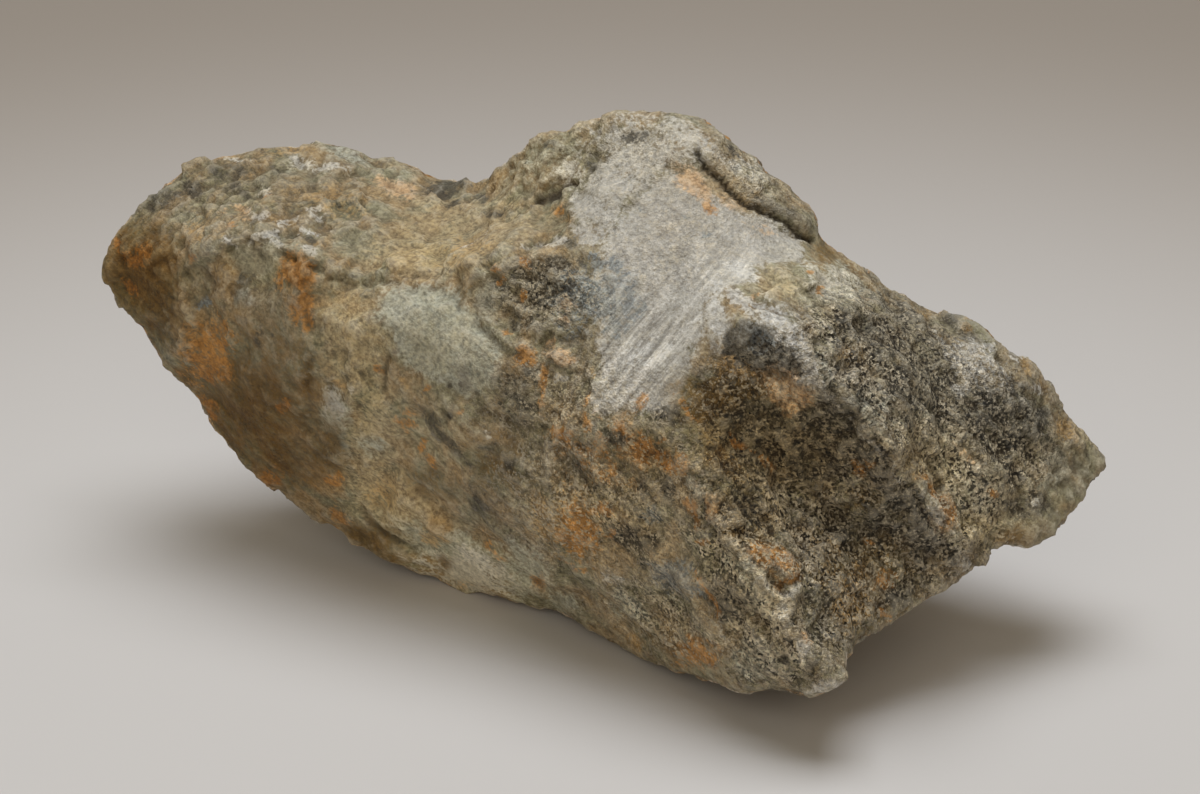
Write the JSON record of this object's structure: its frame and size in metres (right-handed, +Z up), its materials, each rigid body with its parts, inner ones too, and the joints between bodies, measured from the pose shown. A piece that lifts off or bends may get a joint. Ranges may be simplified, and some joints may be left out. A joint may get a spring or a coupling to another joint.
{
  "type": "soapstone block",
  "caption": "Rough broken block of grey-green soapstone with a saddle, a smooth pale talc face and sharp ridges, resting on a flat spot.",
  "frame": {"origin": "middle of the bounding box's foot, on the surface that the stone rests on", "axes": "+X along the stone's length towards its pointed tail, +Y towards its back, +Z up"},
  "size_m": [0.1878, 0.1162, 0.0965],
  "materials": {
    "soapstone": "rough, matt, mottled grey-green, buff and rust with a pale talc face"
  },
  "bodies": {
    "root": {"soapstone": "soapstone"}
  },
  "joints": []
}
